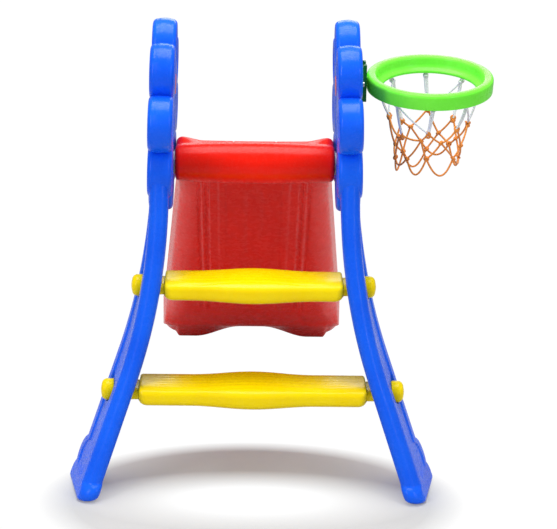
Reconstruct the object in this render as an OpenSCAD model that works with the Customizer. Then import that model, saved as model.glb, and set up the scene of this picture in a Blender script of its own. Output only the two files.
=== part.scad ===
// Folding toddler slide: two side panels with flower-shaped hand grips and splayed legs,
// two steps bolted between them, a chute that folds about a roll at the top, and a hoop
// with a net that lifts off the right side panel.
// +X is to the right seen from behind the steps, +Y runs down the chute, +Z is up.

/* [Side panels] */
// Height of the side panels
panel_h = 700; // [640:5:840]
// Clear width between the legs where they begin to splay
neck_gap = 257; // [235:1:300]
// Bend radius of the legs
bend_r = 600; // [540:10:680]
// Inward lean of the hand grips, in degrees
lean = 1.2; // [0.6:0.2:2.4]
// Splay of a leg's inner face at the floor, in degrees
splay_in = 22.3; // [20.5:0.1:23.3]
// Splay of a leg's outer face at the floor, in degrees
splay_out = 23.3; // [22.3:0.1:25]
// Upward tilt of the bend towards the front, which turns the toes out, in degrees
bend_tilt = 26; // [18:1:30]
// Thickness of a leg at the neck
neck_t = 29; // [25:0.5:33]
// Thickness of a hand grip
grip_t = 37; // [34:1:45]
// Forward rake of a leg's rear edge from the floor to the neck
rake = 82; // [60:1:98]
// Depth of a leg at the neck, front to back
leg_d = 104; // [90:1:124]
// Depth of a foot, front to back
foot_d = 128; // [115:1:140]

/* [Hand grips] */
// Distance from the grip's centre to each petal's centre
petal_ring = 104; // [94:1:112]
// Radius of a petal
petal_r = 42; // [41:1:50]
// Rounding of a petal's rim
petal_round = 13; // [6:1:16]
// Distance from the rear of the feet to the grip's centre
grip_y = 207; // [190:1:230]

/* [Steps] */
// Height of the lower tread
tread_z = 170; // [150:1:190]
// Rise from the lower tread to the upper one
tread_rise = 157; // [140:1:170]
// Thickness of a step
step_t = 31; // [28:1:37]
// Depth of a step at its ends
step_d = 88; // [78:1:100]
// Extra depth of a step's middle, on each side
step_bulge = 10; // [4:1:14]
// Width of the deeper middle
bulge_w = 158; // [130:1:190]
// Length of the narrower neck between a step and the leg
step_neck = 3; // [2:0.5:12]
// Setback of the lower step from the leg's rear edge
step_setback = 0; // [0:1:8]

/* [Knobs] */
// Radius of a step knob
knob_r = 16.5; // [14:0.5:19]
// Height of a step knob
knob_h = 19; // [17:0.5:23]
// Radius of a knob's screw
screw_r = 7; // [6:0.5:8.5]
// Length of screw inside the step
screw_grip = 40; // [30:1:50]

/* [Chute] */
// Slope of the chute, in degrees
slope = 41; // [38:0.5:46]
// Thickness of the chute's bed
bed_t = 30; // [24:1:36]
// Height of the side rails above the bed
rail_h = 52; // [40:1:62]
// Width of a side rail
rail_w = 25; // [20:1:30]
// Half width of the chute at its lower end
end_half_w = 163; // [150:1:190]
// Radius of the run-out curve
run_r = 135; // [110:5:160]
// Height of the bed at the lower end
end_z = 38; // [32:1:46]
// Distance from the middle to the inside of each foot under the lower end
foot_in = 102; // [90:1:110]
// Width of each foot under the lower end
foot_w = 34; // [26:1:40]
// Height of the arch between those feet
foot_arch = 22; // [14:1:26]

/* [Roll and pivot] */
// Radius of the roll at its ends
roll_r = 28; // [26:0.5:33]
// Extra radius in the middle of the roll
roll_crown = 4; // [2:0.5:5]
// Height of the pivot below the grip's centre
pivot_drop = 72; // [68:1:80]
// Radius of the pivot tube
tube_r = 9.5; // [8:0.5:11.5]
// Wall of the pivot tube
tube_wall = 1.5; // [1:0.25:2]
// Radius of a bush where the roll turns on it
journal_r = 15; // [13.5:0.5:17]
// Radial running clearance between bush and roll
running_gap = 0.05; // [0.02:0.01:0.1]
// Angle that the chute folds through, in degrees
fold_angle = 60; // [40:1:62]
// Gap between the roll and the side panels
roll_gap = 2.2; // [1.8:0.1:4]

/* [Hoop] */
// Outer radius of the hoop
hoop_r = 97; // [85:1:110]
// Width of the hoop's top face
hoop_face = 16; // [13:1:20]
// Width of the flange inside the hoop's foot
hoop_flange = 9; // [7:1:12]
// Height of the hoop
hoop_h = 24; // [18:1:28]
// Gap between the hoop and its bracket
hoop_out = 0.5; // [0.4:0.1:6]
// Height of the hoop's centre above the grip's centre
hoop_rise = 56; // [40:1:70]
// Tilt of the hoop towards the steps, in degrees
hoop_tilt = 9; // [0:0.5:12]
// Length of the net below the hoop
net_len = 118; // [95:1:130]
// Radius of the net at its lower end
net_end_r = 50; // [44:1:58]
// Number of net clips
clip_count = 8; // [6:1:10]
// Radial thickness of the net
net_t = 3; // [2.5:0.5:4]

/* [Badges] */
// Radius of the plain round badges
badge_r = 15; // [10:1:18]
// Height of a badge above the grip's centre
badge_rise = 48; // [30:1:60]

/* [Hidden] */
$fn = 96;
long_arc_fn = 720;
eps = 0.01;
gap = 0.3;
// side panels
neck_z = panel_h - 250;
petals = 8;
petal_step = 360 / petals;
petal_turn = 4;
grip_z = panel_h - petal_ring * cos(petal_turn) - petal_r;
grip_rise = (grip_z - neck_z) / cos(lean);
shoulder = (grip_t - neck_t) / 2;
leg_x = neck_gap / 2;
grip_x = leg_x - shoulder;
bend_above = -13;
arc_w = neck_z * cos(bend_tilt) - rake * sin(bend_tilt) + bend_above + bend_r * sin(lean);
floor_cut = 90;
core_r = 88;
core_round = 6;
core_sink = 1;
badge_t = 0.8;
heel_r = 16;
heel_z = 12;
lobe_r = 24;
lobe_z = 50;
toe_r = 20;
toe_z = 15;
// a leg is bent about a line that tilts up towards the front, so its faces depend on w
function along(y, z) = z * cos(bend_tilt) - y * sin(bend_tilt);
function arc_end(a) = arc_w - bend_r * sin(a);
function face_x(w, x0, a) =
    w >= arc_end(a)
        ? x0 + bend_r * cos(lean) - sqrt(pow(bend_r, 2) - pow(arc_w - w, 2))
        : x0 + bend_r * (cos(lean) - cos(a)) + (arc_end(a) - w) * tan(a);
function leg_in(y, z) = face_x(along(y, z), leg_x, splay_in);
function leg_out(y, z) = face_x(along(y, z), leg_x + neck_t, splay_out);
function grip_in(z) = grip_x - (z - neck_z) * tan(lean);
function grip_out(z) = grip_in(z) + grip_t / cos(lean);
foot_x = leg_out(foot_d - toe_r, 0);
// steps
step_mid = [tread_z - step_t / 2, tread_z + tread_rise - step_t / 2];
tenon_d = 64;
tenon_t = 20;
tenon_in = 5;
spot_r = knob_r + 2;
spot_in = 8;
spot_rise = 34;
function step_y(z) = rake * z / neck_z + step_setback + step_bulge + step_d / 2;
function seat_x(z) = leg_in(step_y(z), z) + tenon_in;
function spot_x(z) = leg_out(step_y(z), z) - spot_in;
// where a step's body ends, short of the leg's face at the step's front upper edge
function body_x(z) = leg_in(step_y(z) - step_d / 2, z + step_t / 2) - step_neck;
// pivot
pivot_y = grip_y - 7;
pivot_z = grip_z - pivot_drop;
roll_end = grip_in(pivot_z + roll_r) - roll_gap + 0.7;
bush_r = journal_r + 2;
bush_out = grip_out(pivot_z) - 8;
nose_len = 14;
lug_len = 10;
lug_w = 9;
lug_r = journal_r + 5;
cap_r = 20;
cap_t = 4;
// chute
crest_r = 50;
crest_y = pivot_y + roll_r;
crest_top = pivot_z + roll_r;
slope_top = [crest_y + crest_r * sin(slope), crest_top - crest_r * (1 - cos(slope))];
run_z = end_z + run_r * (1 - cos(slope));
slope_end = [slope_top[0] + (slope_top[1] - run_z) / tan(slope), run_z];
run_mid_y = slope_end[0] + run_r * sin(slope);
tail = 26;
sole_reach = 20;
chute_end = run_mid_y + tail;
up = [sin(slope), cos(slope)];
narrow_half_w = grip_in(crest_top + 10) - roll_gap;
narrow_end = grip_y + petal_ring + petal_r + 8;
rail_rise = 75;
foot_out = foot_in + foot_w;
groove_w = 7;
groove_deep = 5;
// hoop
hoop_y = grip_y;
hoop_z = grip_z + hoop_rise;
bracket_w = 74;
bracket_h = 56;
plate_t = 2.5;
tongue_t = 3;
lip_t = 2.6;
tongue_w = 34;
tongue_h = 42;
slot_gap = 0.4;
arm_w = 18;
bracket_x = grip_out(hoop_z - bracket_h / 2 - 4);
flange_t = 4;
clip_r = hoop_r - hoop_face - 3.5;
peg_r = 1.6;
net_top_r = hoop_r - hoop_face - hoop_flange - 2;
net_split = 0.4;
screw_out = 28;
bracket_screw_r = 2;
tongue_x = bracket_x + plate_t + slot_gap;
lip_x = tongue_x + tongue_t + slot_gap;
hoop_x = lip_x + lip_t + hoop_out + hoop_r;
slot_floor = hoop_z - tongue_h / 2 - slot_gap;
// the origin is under the middle of the whole model
mid_x = (foot_x - hoop_x - hoop_r) / 2;
mid_y = -chute_end / 2;

module placed() translate([mid_x, mid_y, 0]) children();
module along_x(x0, x1) translate([x0, 0, 0]) rotate([90, 0, 90]) linear_extrude(x1 - x0) children();
module along_y(y0, y1) translate([0, y1, 0]) rotate([90, 0, 0]) linear_extrude(y1 - y0) children();
module rod_x(x0, x1, y, z, r) translate([x0, y, z]) rotate([0, 90, 0]) cylinder(h = x1 - x0, r = r);
module on_grip() translate([grip_x, 0, neck_z]) rotate([0, -lean, 0]) children();
module both_sides() { children(); mirror([1, 0, 0]) children(); }
module rounded(w, h, r) {
    square([w - 2 * r, h], center = true);
    square([w, h - 2 * r], center = true);
    for (x = [-1, 1], y = [-1, 1]) translate([x * (w / 2 - r), y * (h / 2 - r)]) circle(r);
}

// ---- side panels ----
// everything outwards of a leg's face: a long arc that runs on as a straight slant
module outwards_of(x0, a) {
    centre_x = x0 + bend_r * cos(lean);
    end_x = centre_x - bend_r * cos(a);
    drop = arc_end(a) + floor_cut;
    translate([centre_x, arc_w]) circle(r = bend_r, $fn = long_arc_fn);
    polygon([[end_x, arc_end(a)], [end_x + drop * tan(a), -floor_cut],
        [centre_x, -floor_cut], [centre_x, arc_end(a)]]);
}
module leg_side() {
    difference() {
        union() {
            polygon([[heel_r / 3, 0], [rake, neck_z], [rake + 10, neck_z + 52],
                [rake + leg_d, neck_z + 52], [rake + leg_d, neck_z], [foot_d - lobe_r, lobe_z],
                [foot_d - toe_r, 0]]);
            translate([heel_r, heel_z]) circle(heel_r);
            translate([foot_d - lobe_r, lobe_z]) circle(lobe_r);
            translate([foot_d - toe_r, toe_z]) circle(toe_r);
        }
        translate([0, -floor_cut]) square([2 * foot_d, floor_cut]);
    }
}
module leg() {
    intersection() {
        rotate([bend_tilt, 0, 0]) along_y(-floor_cut, 2 * grip_y + neck_z)
            difference() {
                outwards_of(leg_x, splay_in);
                outwards_of(leg_x + neck_t, splay_out);
            }
        along_x(0, 2 * foot_x) leg_side();
    }
}
// half of a disc's section, with its rim eased in two bevels
module disc_section(r, t, ease) {
    polygon([[0, 0], [r - ease, 0], [r - ease / 3, ease / 3], [r, ease],
        [r, t - ease], [r - ease / 3, t - ease / 3], [r - ease, t], [0, t]]);
}
module petal() rotate([0, 90, 0]) rotate_extrude() disc_section(petal_r, grip_t, petal_round);
module grip_core() rotate([0, 90, 0]) translate([0, 0, core_sink])
    rotate_extrude() disc_section(core_r, grip_t - 2 * core_sink, core_round);
module grip() {
    on_grip() {
        for (i = [0 : petals - 1])
            translate([0, grip_y, grip_rise])
                rotate([i * petal_step - petal_turn, 0, 0])
                    translate([0, 0, petal_ring]) petal();
        translate([0, grip_y, grip_rise]) grip_core();
    }
}
// the recess that a knob sits in runs on upwards, above the knob
module spot() {
    circle(spot_r);
    translate([-spot_r, 0]) square([2 * spot_r, spot_rise]);
    translate([0, spot_rise]) circle(spot_r);
}
module side_panel() {
    difference() {
        union() {
            leg();
            grip();
        }
        for (z = step_mid) {
            along_x(0, seat_x(z)) translate([step_y(z), z]) rounded(tenon_d + 2 * gap, tenon_t + 2 * gap, 6);
            rod_x(0, 2 * foot_x, step_y(z), z, screw_r + gap);
            along_x(spot_x(z), 2 * foot_x) translate([step_y(z), z]) spot();
        }
        rod_x(0, 2 * foot_x, pivot_y, pivot_z, bush_r);
        rod_x(grip_out(pivot_z) - cap_t, 2 * foot_x, pivot_y, pivot_z, cap_r);
    }
}
module side_panel_right() {
    color("royalblue") placed() difference() {
        side_panel();
        for (s = [-1, 1])
            rod_x(bracket_x - 24, 2 * foot_x, hoop_y + s * screw_out, hoop_z, bracket_screw_r);
    }
}
module side_panel_left() color("royalblue") placed() mirror([1, 0, 0]) side_panel();

// ---- steps ----
// a step is widest in the middle and ends in two tenons that seat in the legs
module step(z) {
    half_w = body_x(z);
    difference() {
        translate([0, step_y(z), z]) {
            along_x(-half_w, half_w) rounded(step_d, step_t, 12);
            along_x(-bulge_w / 2, bulge_w / 2) rounded(step_d + 2 * step_bulge, step_t + 4, 14);
            along_x(-seat_x(z) + gap, seat_x(z) - gap) rounded(tenon_d, tenon_t, 6);
        }
        both_sides()
            rod_x(seat_x(z) - screw_grip, 2 * seat_x(z), step_y(z), z, screw_r);
    }
}
module step_upper() color("gold") placed() step(step_mid[1]);
module step_lower() color("gold") placed() step(step_mid[0]);
module knob(z) {
    translate([spot_x(z), step_y(z), z]) rotate([0, 90, 0]) {
        rotate_extrude() {
            square([knob_r, knob_h - 7]);
            square([knob_r - 7, knob_h]);
            translate([knob_r - 7, knob_h - 7]) intersection() {
                circle(7);
                square(7);
            }
        }
        translate([0, 0, seat_x(z) - screw_grip + 1 - spot_x(z)])
            cylinder(h = spot_x(z) - seat_x(z) + screw_grip, r = screw_r);
    }
}
module step_knobs_upper() color("gold") placed() both_sides() knob(step_mid[1]);
module step_knobs_lower() color("gold") placed() both_sides() knob(step_mid[0]);

// ---- chute ----
function arc_points(c, r, a0, a1, n) =
    [for (i = [0 : n]) let (a = a0 + (a1 - a0) * i / n) [c[0] + r * cos(a), c[1] + r * sin(a)]];
// the bed's surface, seen from the side, raised by h
function bed_line(h) = concat(
    arc_points([crest_y, crest_top - crest_r], crest_r + h, 90, 90 - slope, 6),
    arc_points([run_mid_y, end_z + run_r], run_r - h, 270 - slope, 270, 8));
module chute_side() {
    under_top = slope_top - up * bed_t;
    under_end = slope_end - up * (bed_t - 2);
    polygon(concat([[pivot_y, crest_top]], bed_line(0), [[chute_end, end_z], [chute_end, 8],
        [chute_end - 4, 0], [chute_end - sole_reach, 0], [chute_end - 60, 26], under_end,
        under_top, [pivot_y + roll_r - 6, pivot_z - 14], [pivot_y, pivot_z - 8]]));
    // a rail rises from the crest until it stands its full height above the slope
    rail_start = slope_top + up * rail_h + [cos(slope), -sin(slope)] * rail_rise;
    polygon(concat([[crest_y - 16, crest_top - 4], [crest_y, crest_top + 7], rail_start],
        arc_points([run_mid_y, end_z + run_r], run_r - rail_h, 270 - slope, 270 - slope / 3, 5),
        [[chute_end - 30, end_z + 14], [chute_end - 8, end_z], [chute_end - 40, end_z - 10]],
        [slope_end - up * 4, slope_top - up * 4]));
}
module chute_plan(inset) {
    polygon([for (s = [-1, 1]) each [for (p = s < 0
        ? [[narrow_half_w, pivot_y - 1], [narrow_half_w, narrow_end], [end_half_w, chute_end - 60],
            [end_half_w, chute_end + 1]]
        : [[end_half_w, chute_end + 1], [end_half_w, chute_end - 60], [narrow_half_w, narrow_end],
            [narrow_half_w, pivot_y - 1]]) [s * (p[0] - inset), p[1]]]]);
}
module chute_channel() {
    intersection() {
        along_x(-end_half_w, end_half_w)
            polygon(concat([[crest_y - 40, crest_top]], bed_line(0),
                [[chute_end + 1, end_z], [chute_end + 1, crest_top + 60], [crest_y - 40, crest_top + 60]]));
        linear_extrude(panel_h) chute_plan(rail_w);
    }
}
// a groove along the underside, between two distances from the pivot
module under_groove(x, w, s0, s1) {
    translate([x, slope_top[0], slope_top[1]]) rotate([-slope, 0, 0])
        translate([-w / 2, s0, -bed_t - 20]) cube([w, s1 - s0, 20 + groove_deep]);
}
module roll() {
    crown_r = (pow(roll_end, 2) + pow(roll_crown, 2)) / (2 * roll_crown);
    translate([0, pivot_y, pivot_z]) rotate([0, 90, 0]) rotate_extrude() intersection() {
        translate([0, -roll_end]) square([2 * roll_r, 2 * roll_end]);
        translate([roll_r + roll_crown - crown_r, 0]) circle(r = crown_r, $fn = long_arc_fn);
    }
}
module sector(a0, a1, r) {
    polygon(concat([[0, 0]], arc_points([0, 0], r, a0, a1, 6)));
}
// the space that lets a bush's lug turn in the roll's end: it ends where the chute stops
module lug_way() {
    translate([0, pivot_y, pivot_z]) along_x(roll_end - lug_len - 1, roll_end + 1) intersection() {
        circle(lug_r + gap);
        union() {
            sector(90, 90 + fold_angle, 2 * lug_r);
            for (a = [0, fold_angle])
                rotate(a) translate([-lug_w / 2 - gap, 0]) square([lug_w + 2 * gap, 2 * lug_r]);
        }
    }
}
module chute() {
    slope_len = norm(slope_end - slope_top);
    arch_r = (pow(foot_in, 2) + pow(foot_arch, 2)) / (2 * foot_arch);
    color("red") placed() difference() {
        union() {
            intersection() {
                along_x(-end_half_w, end_half_w) chute_side();
                linear_extrude(panel_h) chute_plan(0);
            }
            roll();
        }
        chute_channel();
        for (s = [-1, 1]) {
            under_groove(s * 76, groove_w, 40, slope_len - 40);
            under_groove(s * 88, groove_w, 40, slope_len - 40);
        }
        under_groove(0, 28, 30, slope_len - 30);
        along_y(chute_end - 130, chute_end + 1) {
            translate([0, foot_arch - arch_r]) circle(r = arch_r, $fn = 180);
            for (s = [-1, 1]) polygon([[s * foot_out, 0], [s * (end_half_w + 1), end_z - 4],
                [s * (end_half_w + 1), -1], [s * foot_out, -1]]);
        }
        rod_x(-2 * roll_end, 2 * roll_end, pivot_y, pivot_z, tube_r + 1);
        both_sides() {
            rod_x(roll_end - nose_len - 1, 2 * roll_end, pivot_y, pivot_z, journal_r + running_gap);
            lug_way();
        }
    }
}

// ---- pivot ----
module pivot_tube() {
    color("silver") placed() difference() {
        rod_x(-bush_out, bush_out, pivot_y, pivot_z, tube_r);
        rod_x(-bush_out - 1, bush_out + 1, pivot_y, pivot_z, tube_r - tube_wall);
    }
}
module pivot_bush() {
    difference() {
        union() {
            rod_x(roll_end + 0.5, bush_out, pivot_y, pivot_z, bush_r);
            rod_x(roll_end - nose_len, roll_end + 1, pivot_y, pivot_z, journal_r);
            translate([roll_end - lug_len, pivot_y - lug_w / 2, pivot_z + tube_r + 1])
                cube([lug_len + 1, lug_w, lug_r - tube_r - 1.5]);
        }
        rod_x(0, 2 * bush_out, pivot_y, pivot_z, tube_r);
    }
}
module pivot_bush_right() color("white") placed() pivot_bush();
module pivot_bush_left() color("white") placed() mirror([1, 0, 0]) pivot_bush();
module pivot_cap() {
    rod_x(grip_out(pivot_z) - cap_t, grip_out(pivot_z) - 0.5, pivot_y, pivot_z, cap_r - gap);
    rod_x(bush_out, grip_out(pivot_z) - 1, pivot_y, pivot_z, bush_r - 1);
    rod_x(bush_out - 18, grip_out(pivot_z) - 1, pivot_y, pivot_z, tube_r - tube_wall);
}
module pivot_cap_right() color("royalblue") placed() pivot_cap();
module pivot_cap_left() color("royalblue") placed() mirror([1, 0, 0]) pivot_cap();

// ---- badges ----
module badge() on_grip() rod_x(core_sink - badge_t, core_sink, grip_y, grip_rise + badge_rise, badge_r);
module badge_right() color("salmon") placed() badge();
module badge_left() color("salmon") placed() mirror([1, 0, 0]) badge();

// ---- hoop ----
module hoop_bracket() {
    color("darkgreen") placed() difference() {
        union() {
            translate([bracket_x - 12, hoop_y - bracket_w / 2, hoop_z - bracket_h / 2])
                cube([12 + plate_t, bracket_w, bracket_h]);
            translate([bracket_x, hoop_y - tongue_w / 2 - 5, hoop_z - bracket_h / 2])
                cube([lip_x + lip_t - bracket_x, tongue_w + 10, bracket_h]);
        }
        on_grip() translate([grip_t - 100, 0, 0]) cube([100, 2 * grip_y, panel_h]);
        translate([tongue_x - slot_gap, hoop_y - tongue_w / 2 - slot_gap, slot_floor])
            cube([tongue_t + 2 * slot_gap, tongue_w + 2 * slot_gap, bracket_h]);
        translate([tongue_x, hoop_y - arm_w / 2 - 1, slot_floor])
            cube([40, arm_w + 2, bracket_h]);
        for (s = [-1, 1])
            rod_x(0, hoop_x, hoop_y + s * screw_out, hoop_z, bracket_screw_r + gap);
    }
}
module bracket_screws() {
    color("silver") placed() for (s = [-1, 1]) {
        rod_x(bracket_x - 22, bracket_x + plate_t + 1, hoop_y + s * screw_out, hoop_z, bracket_screw_r);
        rod_x(bracket_x + plate_t, bracket_x + plate_t + 2.5, hoop_y + s * screw_out, hoop_z, 4);
    }
}
module at_hoop() translate([hoop_x, hoop_y, hoop_z]) rotate([hoop_tilt, 0, 0]) children();
module hoop_section() {
    wall = 4;
    translate([0, -hoop_h / 2]) {
        difference() {
            union() {
                translate([hoop_r - hoop_face, 5]) square([hoop_face, hoop_h - 10]);
                translate([hoop_r - hoop_face + 5, 0]) square([hoop_face - 5, hoop_h]);
                polygon([[hoop_r - hoop_face - hoop_flange, 0], [hoop_r - 6, 0], [hoop_r - hoop_face + 1, hoop_h - 6],
                    [hoop_r - hoop_face - hoop_flange, flange_t]]);
                translate([hoop_r - hoop_face + 5, hoop_h - 5]) circle(5, $fn = 48);
            }
            translate([hoop_r - 5, hoop_h - 5]) difference() {
                square(6);
                circle(5, $fn = 48);
            }
            translate([hoop_r - 5, 5]) difference() {
                translate([0, -6]) square(6);
                circle(5, $fn = 48);
            }
            translate([hoop_r - hoop_face + wall, -1]) square([hoop_face - 2 * wall, hoop_h - wall]);
        }
    }
}
module hoop_ring() {
    color("lime") placed() difference() {
        union() {
            at_hoop() rotate_extrude($fn = 180) hoop_section();
            translate([tongue_x, hoop_y - tongue_w / 2, hoop_z - tongue_h / 2])
                cube([tongue_t, tongue_w, tongue_h]);
            difference() {
                translate([tongue_x, hoop_y - arm_w / 2, hoop_z - 8])
                    cube([hoop_x - hoop_r - tongue_x + 8, arm_w, 16]);
                at_hoop() cylinder(h = 40, r = hoop_r - 3.5, center = true, $fn = 180);
            }
        }
        at_hoop() for (i = [0 : clip_count - 1])
            rotate([0, 0, i * 360 / clip_count]) translate([clip_r, 0, -hoop_h])
                cylinder(h = hoop_h, r = peg_r);
    }
}
// each clip is a peg through the flange with a head above and an eye below for the net
module net_clips() {
    color("white") placed() at_hoop() for (i = [0 : clip_count - 1])
        rotate([0, 0, i * 360 / clip_count]) translate([clip_r, 0, -hoop_h / 2]) {
            translate([0, 0, -1.5]) cylinder(h = flange_t + 4, r = peg_r);
            translate([0, 0, -5]) rotate([0, 90, 0]) rotate_extrude()
                translate([3.2, 0]) circle(1.2, $fn = 32);
        }
}
function net_r(t) = net_end_r + (net_top_r - net_end_r) * pow(1 - t, 1.6);
module net_tube(t0, t1) {
    top_z = hoop_z - hoop_h / 2 - 10;
    steps = 6;
    ts = [for (i = [0 : steps]) t0 + (t1 - t0) * i / steps];
    translate([hoop_x, hoop_y, 0]) rotate_extrude($fn = 120)
        polygon(concat([for (t = ts) [net_r(t), top_z - t * net_len]],
            [for (i = [steps : -1 : 0]) [net_r(ts[i]) - net_t, top_z - ts[i] * net_len]]));
}
module under_hoop() {
    difference() {
        children();
        at_hoop() translate([0, 0, -hoop_h / 2 - 6.5]) cylinder(h = 60, r = 2 * hoop_r);
    }
}
module net_upper() color("white") placed() under_hoop() net_tube(-0.12, net_split);
module net_lower() color("orange") placed() net_tube(net_split, 1);

side_panel_left();
side_panel_right();
step_upper();
step_lower();
step_knobs_upper();
step_knobs_lower();
chute();
pivot_tube();
pivot_bush_left();
pivot_bush_right();
pivot_cap_left();
pivot_cap_right();
badge_left();
badge_right();
hoop_bracket();
bracket_screws();
hoop_ring();
net_clips();
net_upper();
net_lower();
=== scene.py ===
# Folding toddler slide: moulded shells, hoop and knotted net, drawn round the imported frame.
import math
import bpy
import numpy as np
from mathutils import Matrix, Vector


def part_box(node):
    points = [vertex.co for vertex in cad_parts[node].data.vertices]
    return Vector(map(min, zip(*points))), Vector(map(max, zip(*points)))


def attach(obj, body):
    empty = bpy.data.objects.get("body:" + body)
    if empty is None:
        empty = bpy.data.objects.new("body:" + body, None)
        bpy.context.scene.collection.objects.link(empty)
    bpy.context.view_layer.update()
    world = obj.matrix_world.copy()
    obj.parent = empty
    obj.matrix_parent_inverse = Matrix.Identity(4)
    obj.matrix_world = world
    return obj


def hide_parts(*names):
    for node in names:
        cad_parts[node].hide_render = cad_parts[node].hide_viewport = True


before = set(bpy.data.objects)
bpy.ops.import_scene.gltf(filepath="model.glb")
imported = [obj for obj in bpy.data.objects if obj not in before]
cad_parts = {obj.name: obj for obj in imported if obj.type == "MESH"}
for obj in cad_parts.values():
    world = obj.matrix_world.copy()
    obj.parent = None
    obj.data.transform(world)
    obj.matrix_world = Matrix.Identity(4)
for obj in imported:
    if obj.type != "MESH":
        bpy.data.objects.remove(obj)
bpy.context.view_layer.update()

millimetre = 0.001
random = np.random.default_rng(17)

# the shapes below are worked out in millimetres from the middle of the panels, the heels and the floor
leftBox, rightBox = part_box("side_panel_left"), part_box("side_panel_right")
shapeOrigin = np.array([(leftBox[0][0] + rightBox[1][0]) / 2, leftBox[0][1], 0.0])


# point in metres = point in millimetres / 1000 + the origin of the shapes
def toFrame(points):
    return np.asarray(points, float) * millimetre + shapeOrigin


camera = dict(place=(-17, -3048, 1226), pan=0.98, tilt=15.57, roll=0.84, lens=140.25)


# forward = (sin pan cos tilt, cos pan cos tilt, -sin tilt); right is level, then both turn by roll
def addCamera():
    pan, tilt, roll = (math.radians(camera[k]) for k in ("pan", "tilt", "roll"))
    forward = Vector((math.sin(pan) * math.cos(tilt), math.cos(pan) * math.cos(tilt), -math.sin(tilt)))
    right = Vector((math.cos(pan), -math.sin(pan), 0))
    up = right.cross(forward)
    right, up = (right * math.cos(roll) + up * math.sin(roll), up * math.cos(roll) - right * math.sin(roll))
    data = bpy.data.cameras.new("camera")
    data.lens = camera["lens"]
    data.sensor_width = 36
    item = bpy.data.objects.new("camera", data)
    turn = Matrix((right, up, -forward)).transposed().to_4x4()
    item.matrix_world = Matrix.Translation(Vector(toFrame(camera["place"]))) @ turn
    bpy.context.scene.collection.objects.link(item)
    bpy.context.scene.camera = item


studio = dict(worldSeen=1.0, worldLight=0.45, worldShine=0.25,
              # name: place, target, width, height, watts
              lamps=dict(top=((0.0, -0.15, 2.6), (0.0, 0.1, 0.3), 1.7, 1.7, 56),
                         frontLeft=((-1.9, -2.4, 1.7), (0.0, 0.0, 0.35), 0.6, 1.9, 27),
                         frontRight=((2.0, -2.4, 1.5), (0.0, 0.0, 0.35), 0.45, 1.9, 15),
                         back=((0.3, 2.4, 1.7), (0.0, 0.2, 0.4), 1.6, 1.0, 14)))


# an area lamp at a place, facing its target
def addLamp(name, place, target, width, height, watts):
    data = bpy.data.lights.new(name, "AREA")
    data.shape = "RECTANGLE"
    data.size, data.size_y, data.energy = width, height, watts
    item = bpy.data.objects.new(name, data)
    aim = (Vector(target) - Vector(place)).to_track_quat("-Z", "Y").to_matrix().to_4x4()
    item.matrix_world = Matrix.Translation(place) @ aim
    bpy.context.scene.collection.objects.link(item)


# a white room whose glow on the object is dimmer than what stands behind it
def addStudio():
    for name, values in studio["lamps"].items():
        addLamp(name, *values)
    world = bpy.data.worlds.new("studio")
    world.use_nodes = True
    tree = world.node_tree
    tree.nodes.clear()
    output = tree.nodes.new("ShaderNodeOutputWorld")
    blend = tree.nodes.new("ShaderNodeMixShader")
    rays = tree.nodes.new("ShaderNodeLightPath")
    glossBlend = tree.nodes.new("ShaderNodeMixShader")
    sides = ((glossBlend, 1, "worldLight"), (glossBlend, 2, "worldShine"), (blend, 2, "worldSeen"))
    for node, index, strength in sides:
        glow = tree.nodes.new("ShaderNodeBackground")
        glow.inputs["Color"].default_value = (1, 1, 1, 1)
        glow.inputs["Strength"].default_value = studio[strength]
        tree.links.new(glow.outputs[0], node.inputs[index])
    tree.links.new(rays.outputs["Is Glossy Ray"], glossBlend.inputs[0])
    tree.links.new(glossBlend.outputs[0], blend.inputs[1])
    tree.links.new(rays.outputs["Is Camera Ray"], blend.inputs[0])
    tree.links.new(blend.outputs[0], output.inputs["Surface"])
    bpy.context.scene.world = world
    bpy.context.scene.view_settings.view_transform = "Standard"


addCamera()
addStudio()
print("camera and studio are set")


# a material with nodes, its tree and its Principled shader
def newMaterial(name):
    material = bpy.data.materials.new(name)
    material.use_nodes = True
    tree = material.node_tree
    shader = tree.nodes["Principled BSDF"]
    return material, tree, shader


# a node with its settings and its sockets set by name
def addNode(tree, kind, **values):
    node = tree.nodes.new(kind)
    for key, value in values.items():
        if hasattr(node, key):
            setattr(node, key, value)
        else:
            node.inputs[key.replace("_", " ")].default_value = value
    return node


# noise on object coordinates, with its features about size metres across
def addNoise(tree, size, detail=3.0, roughness=0.5, stretch=(1, 1, 1)):
    place = addNode(tree, "ShaderNodeTexCoord")
    mapping = addNode(tree, "ShaderNodeMapping")
    mapping.inputs["Scale"].default_value = stretch
    noise = addNode(tree, "ShaderNodeTexNoise", Scale=1 / size, Detail=detail, Roughness=roughness)
    tree.links.new(place.outputs["Object"], mapping.inputs["Vector"])
    tree.links.new(mapping.outputs[0], noise.inputs["Vector"])
    return noise


# output runs from low to high as the input runs from start to end
def addRange(tree, source, start, end, low, high):
    node = addNode(tree, "ShaderNodeMapRange")
    for socket, value in zip(("From Min", "From Max", "To Min", "To Max"), (start, end, low, high)):
        node.inputs[socket].default_value = value
    tree.links.new(source, node.inputs["Value"])
    return node.outputs["Result"]


# result = (1 - factor) first + factor second, unless another blend is named
def addColourMix(tree, factor, first, second, blendType="MIX"):
    node = addNode(tree, "ShaderNodeMix", data_type="RGBA", blend_type=blendType)
    for socket, value in ((node.inputs[6], first), (node.inputs[7], second)):
        if isinstance(value, tuple):
            socket.default_value = (*value, 1)
        else:
            tree.links.new(value, socket)
    if isinstance(factor, float):
        node.inputs[0].default_value = factor
    else:
        tree.links.new(factor, node.inputs[0])
    return node.outputs[2]


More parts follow.
